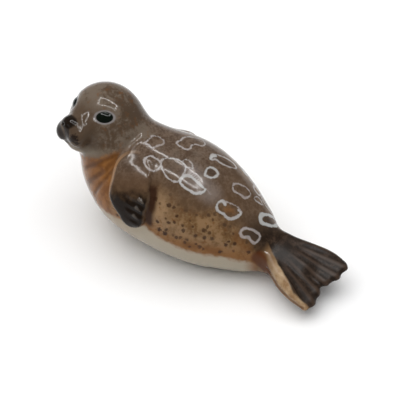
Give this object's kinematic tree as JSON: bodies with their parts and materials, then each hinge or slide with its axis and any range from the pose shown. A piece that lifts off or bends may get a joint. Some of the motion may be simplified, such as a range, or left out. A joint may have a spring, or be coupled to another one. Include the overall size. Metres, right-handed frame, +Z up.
{
  "type": "seal figurine",
  "caption": "Small glazed porcelain figurine of a resting spotted seal with its head turned to its left, for display on a shelf.",
  "frame": {"origin": "centre of the figurine's footprint box, on the surface it lies on", "axes": "+Z up, +Y towards the tail, +X towards the seal's own left side"},
  "size_m": [0.0252, 0.058, 0.0285],
  "materials": {
    "seal": "painted under a clear gloss glaze"
  },
  "bodies": {
    "root": {"seal": "seal"}
  },
  "joints": []
}
